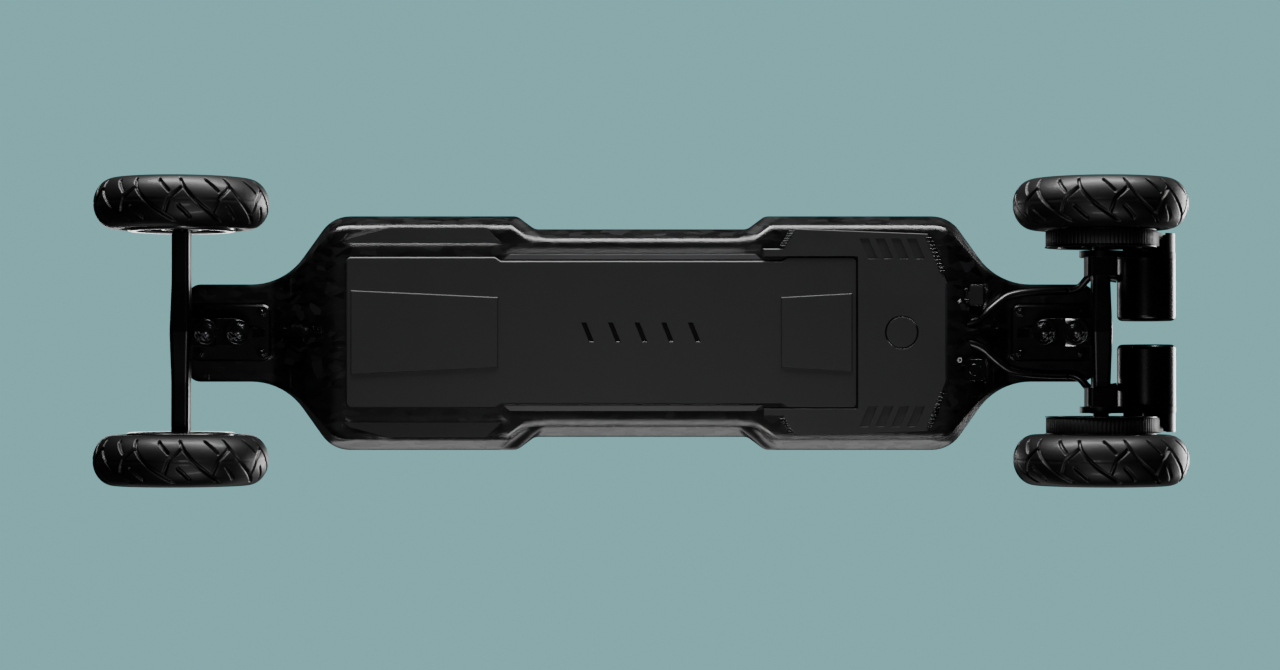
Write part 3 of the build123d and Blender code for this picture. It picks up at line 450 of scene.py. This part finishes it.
def tyre_radius(node):
    """The tyre's outer radius: half of its height or of its length, whichever is more."""
    low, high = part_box(node)
    return max(high[2] - low[2], high[0] - low[0]) / 2


for end in ("front", "rear"):
    for side in ("left", "right"):
        node = f"{end}_{side}_tyre"
        points = tyre_surface(node)
        piece = grid_mesh(f"{end}_{side}_tyre_tread", points)
        dress(piece, tyre_rubber, f"{end}_{side}_wheel", "tyre_rubber", node)
print("tyres:", points.shape[0] * points.shape[1], "points each")

# %% [markdown]
# ## Belts, cables and small inlays
#
# A toothed belt shows its teeth as fine ribs across its back. Its line is the hull of the two
# pulleys: for each direction, the farther of the two circles' points. The cables are round tubes
# on one smooth line through their route, and the loose lead behind each one is two such tubes,
# split at its middle.

# %% Ribbed belts
BELT_TEETH = 91
STEPS_PER_TOOTH = 8
BELT_EDGE = 0.4 * MM
BELT_GAP = 0.4 * MM
BELT_BACK = 2.75 * MM
BELT_RIB = 0.5 * MM
PULLEY_RADII = (52 * MM, 14.2 * MM)


def belt_line(centres, radii, steps):
    """The hull of two circles as equally spaced points, with the outward normal at each.

    For each direction n the hull's point is c + r n of the circle with the larger c.n + r.
    """
    angle = np.linspace(0, 2 * math.pi, 2000, endpoint=False)
    normal = np.stack([np.cos(angle), np.sin(angle)], 1)
    reach = np.stack([normal @ c + r for c, r in zip(centres, radii)], 1)
    far = reach.argmax(1)
    points = np.asarray(centres)[far] + normal * np.asarray(radii)[far][:, None]
    loop = np.concatenate([points, points[:1]])
    normals = np.concatenate([normal, normal[:1]])
    length = np.concatenate([[0], np.hypot(*np.diff(loop, axis=0).T).cumsum()])
    want = np.linspace(0, length[-1], steps, endpoint=False)
    place = np.stack([np.interp(want, length, loop[:, k]) for k in (0, 1)], 1)
    facing = np.stack([np.interp(want, length, normals[:, k]) for k in (0, 1)], 1)
    return place, facing / np.linalg.norm(facing, axis=1, keepdims=True)


def belt_surface(side):
    """The belt of one side, its back ribbed once for each tooth."""
    low, high = (np.array(corner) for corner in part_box(f"{side}_belt"))
    wheel = np.array(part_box(f"rear_{side}_tyre")).mean(0)
    motor = np.array(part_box(f"{side}_motor_can")).mean(0)
    steps = STEPS_PER_TOOTH * BELT_TEETH
    line, normal = belt_line([wheel[[0, 2]], motor[[0, 2]]], PULLEY_RADII, steps)
    wave = 0.5 - 0.5 * np.cos(np.arange(steps) * 2 * math.pi / STEPS_PER_TOOTH)
    back = BELT_BACK - BELT_RIB * wave**3
    section = [
        (low[1], BELT_GAP + 0 * back), (high[1], BELT_GAP + 0 * back),
        (high[1], back - BELT_EDGE), (high[1] - BELT_EDGE, back),
        (low[1] + BELT_EDGE, back), (low[1], back - BELT_EDGE),
    ]
    rows = []
    for y, offset in section:
        flat = line + normal * offset[:, None]
        rows.append(np.stack([flat[:, 0], np.full(steps, y), flat[:, 1]], 1))
    return np.stack(rows, 1)


for side in ("left", "right"):
    piece = grid_mesh(f"{side}_belt_ribbed", belt_surface(side))
    dress(piece, soft_rubber, "rear_hanger", "belt_rubber", f"{side}_belt")
print("belts ribbed")


# %% Cables and leads
CABLE_RADIUS = 4 * MM
SOFT_END = 0.85
CABLE_ROUTE = (
    (-306, 8, 130), (-340, 8, 130), (-362, 28, 139), (-384, 43, 145), (-438, 43, 145),
)
LEAD_ROUTE = (
    (-438.2, 43, 145), (-448, 43, 145), (-460, 60, 141), (-472, 57, 133.5), (-485.7, 55, 133.5),
)


def route_line(points):
    """The smooth line through a route: a spline with the route's points as its control points."""
    curve = bpy.data.curves.new("route", "CURVE")
    curve.dimensions = "3D"
    spline = curve.splines.new("NURBS")
    spline.points.add(len(points) - 1)
    spline.points.foreach_set("co", np.array([(*p, 1 / MM) for p in points]).ravel() * MM)
    spline.order_u = 3
    spline.use_endpoint_u = True
    spline.resolution_u = 24
    holder = bpy.data.objects.new("route", curve)
    mesh = bpy.data.meshes.new_from_object(holder)
    line = np.zeros(len(mesh.vertices) * 3)
    mesh.vertices.foreach_get("co", line)
    bpy.data.objects.remove(holder)
    bpy.data.meshes.remove(mesh)
    bpy.data.curves.remove(curve)
    return line.reshape(-1, 3)


def tube_surface(line, radius, sides=28):
    """A round tube along a line: at each point, radius times the turned pair of vectors across it.

    The pair is made from the line's direction and the vertical, which no route runs along. Each
    end closes on the line itself.
    """
    ahead = np.gradient(line, axis=0)
    ahead /= np.linalg.norm(ahead, axis=1, keepdims=True)
    across = np.cross(ahead, (0, 0, 1))
    across /= np.linalg.norm(across, axis=1, keepdims=True)
    up = np.cross(across, ahead)
    turn = np.linspace(0, 2 * math.pi, sides, endpoint=False)[None, :, None]
    ring = across[:, None] * np.cos(turn) + up[:, None] * np.sin(turn)
    body = line[:, None] + radius * ring
    start, end = (
        [line[k] + radius * share * ring[k][None] for share in (0.0, SOFT_END)] for k in (0, -1)
    )
    return np.concatenate([start[0], start[1], body, end[1], end[0]])


for side, sign in (("left", 1), ("right", -1)):
    route = [(x, sign * y, z) for x, y, z in CABLE_ROUTE]
    piece = grid_mesh(f"{side}_cable", tube_surface(route_line(route), CABLE_RADIUS), close_rows=False)
    dress(piece, cable_skin, "deck", "cable_sheath", "motor_cables")
    line = route_line([(x, sign * y, z) for x, y, z in LEAD_ROUTE])
    middle_row = len(line) // 2
    for half, part, bodies in (
        ("fore", line[:middle_row + 1], ("deck", "rear_link")),
        ("aft", line[middle_row:], ("rear_link", "rear_hanger")),
    ):
        piece = grid_mesh(f"{side}_lead_{half}", tube_surface(part, CABLE_RADIUS), close_rows=False)
        piece.data.materials.append(cable_skin)
        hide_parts("motor_leads")
        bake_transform(piece)
print("cables and leads ready")


# %% Thin plates and rings
PLATE_SOFT = 0.15
PLATE_INSET = 0.94


def plate(name, outline, low, high, material, slot, drop=None):
    """A thin plate between two heights over a closed outline; drop(x) lowers or lifts it along X."""
    outline = np.array(outline, dtype=float) * MM
    middle = outline.mean(0)
    rings = []
    profile = (
        (low, 0.0), (low, PLATE_INSET), (low + PLATE_SOFT, 1.0), (high, 1.0), (high, 0.0),
    )
    for height, share in profile:
        flat = middle + (outline - middle) * share
        lift = height * MM + (drop(flat[:, 0]) if drop else 0)
        rings.append(np.column_stack([flat, np.broadcast_to(lift, len(flat))]))
    piece = grid_mesh(name, np.stack(rings), close_rows=False, smooth=False)
    dress(piece, material, "deck", slot)


def ring_surface(centre, inner, outer, low, high, start=0.0, sweep=360.0):
    """A flat ring with softened corners, or an arc of one, as (turn, section) rows in metres."""
    is_arc = sweep < 360
    turn = np.radians(np.linspace(start, start + sweep, 96 + is_arc, endpoint=is_arc))
    section = (
        (inner, high), (inner, low + PLATE_SOFT), (inner + PLATE_SOFT, low),
        (outer - PLATE_SOFT, low), (outer, low + PLATE_SOFT), (outer, high),
    )
    points = []
    for r, z in section:
        x = centre[0] + r * np.cos(turn)
        y = centre[1] + r * np.sin(turn)
        points.append(np.stack([x, y, np.full(len(turn), z)], 1))
    return np.stack(points, 1) * MM


def close_ends(rows):
    """The rows with one more at each end, drawn together at the end row's middle."""
    first = np.broadcast_to(rows[:1].mean(1, keepdims=True), rows[:1].shape)
    last = np.broadcast_to(rows[-1:].mean(1, keepdims=True), rows[-1:].shape)
    return np.concatenate([first, rows, last])


# %% Badge bars and cover ring
BATTERY_COVER_Z = 110.0
CONTROLLER_COVER_Z = 108.0
BADGE_BARS = 5
BAR_PITCH = 27.0
BAR_SLANT = 4.0
BAR_HALF = 2.3
BAR_RISE = 9.8
RING_CENTRE = (-264, 0)
RING_INNER = 15.6
RING_OUTER = 16.8

for index in range(BADGE_BARS):
    x = (index - (BADGE_BARS - 1) / 2) * BAR_PITCH
    bar = [
        (x - BAR_SLANT - BAR_HALF, -BAR_RISE), (x - BAR_SLANT + BAR_HALF, -BAR_RISE),
        (x + BAR_SLANT + BAR_HALF, BAR_RISE), (x + BAR_SLANT - BAR_HALF, BAR_RISE),
    ]
    plate(
        f"badge_bar_{index}", bar, BATTERY_COVER_Z + 0.1, BATTERY_COVER_Z + 0.8,
        gloss_abs, "rail_gloss",
    )
points = ring_surface(
    RING_CENTRE, RING_INNER, RING_OUTER, CONTROLLER_COVER_Z + 0.15, CONTROLLER_COVER_Z + 1.2
)
dress(grid_mesh("cover_ring", points), gloss_abs, "deck", "rail_gloss")
print("badge bars and ring ready")


# %% Marks beside the port and the button
SLOPE_START = 315.0
SLOPE = 34.0 / 61.0
MARK_X = -324.0
CHARGE_MARK_Y = 32
POWER_MARK_Y = -28
MARK_LOW = 115.7
MARK_HIGH = 116.1
mark_paint, _, _ = new_material("white_pad_print", Base_Color=linear("#c9c9c6"), Roughness=0.45)


def on_slope(x):
    """How much higher the deck's slope is at x than the tub's underside, in metres."""
    return (-x - SLOPE_START * MM) * SLOPE


bolt = [(1.2, -2.6), (-2.2, 0.3), (-0.2, 0.3), (-1.2, 2.6), (2.2, -0.3), (0.2, -0.3)]
outline = [(MARK_X + a, CHARGE_MARK_Y + b) for a, b in bolt]
plate("charge_mark", outline, MARK_LOW, MARK_HIGH, mark_paint, "rail_gloss", on_slope)
arc = ring_surface((MARK_X, POWER_MARK_Y), 1.7, 2.5, MARK_LOW, MARK_HIGH, 30, 300)
arc[:, :, 2] += on_slope(arc[:, :, 0])
piece = grid_mesh("power_mark_arc", close_ends(arc), close_rows=False)
dress(piece, mark_paint, "deck", "rail_gloss")
bar = [(0.4, -0.4), (3.0, -0.4), (3.0, 0.4), (0.4, 0.4)]
outline = [(MARK_X + a, POWER_MARK_Y + b) for a, b in bar]
plate("power_mark_bar", outline, MARK_LOW, MARK_HIGH, mark_paint, "rail_gloss", on_slope)
print("marks ready")

# %% [markdown]
# ## Turned details
#
# Two small things are turned shapes. Each front hub carries a dished inner ring with five round
# windows, which shows past the tyre. Each kingpin's lock nut is a hexagon with a domed nylon
# collar, standing on a washer that is rolled at its edge. All are rows of circles, pulled towards
# a hexagon or sunk by a window where the row says so.

# %% Hub rings
HUB_RING_ROWS = (
    (15.5, 0.0), (15.5, 6.0), (17.0, 7.6), (20.0, 8.0), (21.5, 6.2), (26.0, 5.0), (31.5, 4.8),
    (37.0, 5.0), (41.0, 5.6), (43.0, 8.4), (46.0, 9.6), (51.0, 9.8), (53.4, 9.0), (54.0, 7.0),
    (54.0, 2.0), (51.0, 0.0),
)
HUB_RING_STEPS = (90, 360)
WINDOW_CIRCLE = 31.5
WINDOW_RADIUS = 6.5
WINDOW_DEPTH = 4.2
WINDOWS = 5


def hub_ring_surface(node, sign):
    """The dished ring about Y: each row's radius and height from the hub's inner face.

    The rows are refined to steps of about 1 mm. The dish sinks by WINDOW_DEPTH in each round
    window: where the distance to the window's centre is under WINDOW_RADIUS.
    """
    low, high = (np.array(corner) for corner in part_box(node))
    middle = (low + high) / 2
    face = low[1] if sign > 0 else high[1]
    table = np.array(HUB_RING_ROWS)
    length = np.concatenate([[0], np.hypot(*np.diff(table, axis=0).T).cumsum()])
    want = np.linspace(0, length[-1], HUB_RING_STEPS[0])
    radius = np.interp(want, length, table[:, 0])[:, None]
    height = np.interp(want, length, table[:, 1])[:, None]
    turn = np.linspace(0, 2 * math.pi, HUB_RING_STEPS[1], endpoint=False)[None, :]
    nearest = (turn * WINDOWS / (2 * math.pi) + 0.5) % 1 - 0.5
    angle = nearest * 2 * math.pi / WINDOWS
    gap = np.hypot(radius * np.cos(angle) - WINDOW_CIRCLE, radius * np.sin(angle))
    sunk = height - WINDOW_DEPTH * smooth_step((WINDOW_RADIUS - gap) / 1.0) * (height > 3)
    x = middle[0] + radius * np.cos(turn) * MM
    z = middle[2] + radius * np.sin(turn) * MM
    y = face - sign * sunk * MM
    return np.stack([x, y + 0 * x, z], -1)


for side, sign in (("left", 1), ("right", -1)):
    piece = grid_mesh(f"front_{side}_hub_ring", hub_ring_surface(f"front_{side}_hub", sign))
    dress(piece, hub_nylon, f"front_{side}_wheel", "hub_plastic")
print("hub rings ready")

# %% Lock nuts and washers
NUT_ROWS = (
    (0.0, -31.1, 0), (4.3, -31.1, 0), (5.05, -30.4, 0), (5.05, -29.6, 0), (5.7, -30.0, 0),
    (6.6, -29.9, 0), (7.2, -29.2, 0), (7.4, -28.2, 0), (7.7, -27.6, 0.2), (8.05, -26.9, 1),
    (8.05, -21.6, 1), (8.4, -21.2, 0), (9.4, -21.5, 0), (10.4, -21.0, 0), (11.4, -21.5, 0),
    (12.3, -21.2, 0), (12.6, -20.4, 0), (12.6, -19.1, 0), (0.0, -19.1, 0),
)
LEAN = math.radians(25)
KINGPIN_OFFSET = 19 * MM
KINGPIN_SPACING = 34 * MM
INNER_RISE = 1.0


def nut_surface(end, along):
    """A lock nut on its washer, about a kingpin that leans by LEAN, at a distance along the truck.

    Each row is a radius, a height along the kingpin and how far it is pulled to a hexagon, whose
    radius is r / cos(a) with a the angle from the nearest flat's middle.
    """
    rows = np.array(NUT_ROWS)
    turn = np.linspace(0, 2 * math.pi, 96, endpoint=False)[None, :]
    from_flat = (turn + math.pi / 6) % (math.pi / 3) - math.pi / 6
    hexagon = 1 / np.cos(from_flat)
    r = rows[:, :1] * (1 + rows[:, 2:] * (hexagon - 1)) * MM
    height = (rows[:, 1:2] + (INNER_RISE if along else 0)) * MM + 0 * r
    across = r * np.cos(turn) - along
    x = across * math.cos(LEAN) + height * math.sin(LEAN)
    z = -across * math.sin(LEAN) + height * math.cos(LEAN)
    axle = np.array(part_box(f"{end}_axle")).mean(0)
    sign = 1 if end == "front" else -1
    x = abs(axle[0]) - KINGPIN_OFFSET * math.cos(LEAN) + x
    z = axle[2] + KINGPIN_OFFSET * math.sin(LEAN) + z
    return np.stack([sign * x, sign * r * np.sin(turn), z], -1)


bodies = frame["record"]["behaviour"]["bodies"]
body_of = {node: body for body, nodes in bodies.items() for node in nodes}
for end in ("front", "rear"):
    for label, along in (("outer", 0.0), ("inner", KINGPIN_SPACING)):
        piece = grid_mesh(f"{end}_{label}_lock_nut", nut_surface(end, along), close_rows=False)
        dress(piece, black_steel, body_of[f"{end}_kingpins"], "black_fasteners")
print("lock nuts ready")

# %% [markdown]
# Short louvres stand in rows beside the controller cover's steps and its tail corners. The cover's
# flanks fall away towards the rails, so each blade follows the fall at its own place.

# %% Louvres on the controller cover
LOUVRE_RUNS = (((-144.5, 86.5), (-155.5, 104.0), 7), ((-293.0, 97.5), (-308.0, 60.0), 10))
LOUVRE_FRONT = 5.0
LOUVRE_BACK = 1.0
LOUVRE_INNER = 0.9
LOUVRE_OUTER = 0.6
LOUVRE_STAND = 0.3
FLANK_START = 38.0
FLANK_SHARE = 2.4 / 82.0
for run, (start, end, count) in enumerate(LOUVRE_RUNS):
    for index in range(count):
        share = (index + 0.5) / count
        x = start[0] + (end[0] - start[0]) * share
        y = start[1] + (end[1] - start[1]) * share
        height = CONTROLLER_COVER_Z + (y - FLANK_START) * FLANK_SHARE
        for sign, side in ((1, "left"), (-1, "right")):
            inner, outer = sign * (y - LOUVRE_INNER), sign * (y + LOUVRE_OUTER)
            blade = [
                (x + LOUVRE_FRONT, inner), (x - LOUVRE_BACK, inner),
                (x - LOUVRE_BACK, outer), (x + LOUVRE_FRONT, outer),
            ]
            plate(
                f"{side}_louvre_{run}_{index}", blade, height - LOUVRE_STAND, height + 1,
                gloss_abs, "cover_plastic",
            )
print("louvres ready")

# %% [markdown]
# ## Stage, light and camera
#
# The board is seen from straight below, so the floor under it can't be in the way: its underside
# is clear and it throws no shadow, and from above it is a plain pale floor. A long soft light at
# each side draws the bright lines along the deck's edges, two lights below lift the covers, and a
# small one above the nose catches the front hubs' rims. A soft sun from above and behind lights
# the floor and the top evenly; it leans back so that upright walls don't mirror it downwards.

# %% Floor and surroundings
BACKDROP = "#80babd"
FILL = 0.02
low, high = (Vector(c) for c in CAD_BOX)
middle = (low + high) / 2
length = high.x - low.x


def clear_from_below():
    """A matte floor that is seen from above only: the back of each face is transparent."""
    made, tree, surface = new_material("plain_matte_floor", Base_Color=linear(BACKDROP), Roughness=0.9)
    back = add(tree, "ShaderNodeNewGeometry").outputs["Backfacing"]
    clear = add(tree, "ShaderNodeBsdfTransparent")
    mix = add(tree, "ShaderNodeMixShader", i0=back, i1=surface.outputs[0], i2=clear.outputs[0])
    output = next(n for n in tree.nodes if n.type == "OUTPUT_MATERIAL")
    tree.links.new(mix.outputs[0], output.inputs["Surface"])
    return made


reach = 12 * length
floor_mesh = bpy.data.meshes.new("floor")
corners = [(x * reach, y * reach, low.z) for x, y in ((-1, -1), (1, -1), (1, 1), (-1, 1))]
floor_mesh.from_pydata(corners, [], [(0, 1, 2, 3)])
floor = bpy.data.objects.new("floor", floor_mesh)
bpy.context.scene.collection.objects.link(floor)
floor.data.materials.append(clear_from_below())
floor.visible_shadow = False
floor.visible_glossy = False
floor.visible_diffuse = False

world = bpy.data.worlds.new("studio")
bpy.context.scene.world = world
world.use_nodes = True
tree = world.node_tree
tree.nodes.clear()
seen = add(tree, "ShaderNodeBackground", Color=linear(BACKDROP), Strength=1.0)
fill = add(tree, "ShaderNodeBackground", Color=linear("#f2f4f5"), Strength=FILL)
camera_ray = add(tree, "ShaderNodeLightPath").outputs["Is Camera Ray"]
both = add(tree, "ShaderNodeMixShader", i0=camera_ray, i1=fill.outputs[0], i2=seen.outputs[0])
add(tree, "ShaderNodeOutputWorld", Surface=both.outputs[0])
print("stage ready, floor at", round(low.z, 4))


# %% Lights
def area_light(name, place, width, height, power):
    """A rectangular soft light at a place, turned to face the board's middle."""
    data = bpy.data.lights.new(name, "AREA")
    data.shape = "RECTANGLE"
    data.size = width
    data.size_y = height
    data.energy = power
    made = bpy.data.objects.new(name, data)
    bpy.context.scene.collection.objects.link(made)
    made.location = place
    made.rotation_euler = (middle - Vector(place)).to_track_quat("-Z", "Y").to_euler()
    made.visible_camera = False


area_light("left_strip", (0, 1.9, -0.06), 2.6, 0.55, 165)
area_light("right_softbox", (0, -1.7, 1.9), 2.8, 0.9, 5)
area_light("below_right", (-0.4, -1.8, -1.5), 1.2, 0.25, 18)
area_light("below_middle", (0.03, -0.45, -1.7), 0.4, 0.25, 5)
area_light("hub_rim_light", (0.8, 0, 2.1), 0.35, 0.6, 3.5)
print("area lights ready")

# %% Soft sun
SUN_STRENGTH = 3.5
SUN_SPREAD = 30
SUN_LEAN = -40
sun_data = bpy.data.lights.new("ceiling", "SUN")
sun_data.energy = SUN_STRENGTH
sun_data.angle = math.radians(SUN_SPREAD)
sun = bpy.data.objects.new("ceiling", sun_data)
bpy.context.scene.collection.objects.link(sun)
sun.rotation_euler = (0, math.radians(SUN_LEAN), 0)
print("sun ready")

# %% Camera
CAMERA_DISTANCE = 2.9
CAMERA_OFFSET = -0.05
FRAME_WIDTH = 1286.4 * MM
data = bpy.data.cameras.new("camera")
camera = bpy.data.objects.new("camera", data)
bpy.context.scene.collection.objects.link(camera)
aim = Vector((1 * MM, -3 * MM, tyre_radius("front_left_tyre")))
camera.location = (aim.x, CAMERA_OFFSET, aim.z - CAMERA_DISTANCE)
data.sensor_width = 36
data.lens = data.sensor_width * CAMERA_DISTANCE / FRAME_WIDTH
tilt = math.atan2(aim.y - camera.location.y, CAMERA_DISTANCE)
camera.rotation_euler = (tilt, math.pi, 0)
bpy.context.scene.camera = camera
print("lens", round(data.lens, 1), "tilt", round(math.degrees(tilt), 2))

# %% Finish
bpy.context.view_layer.update()
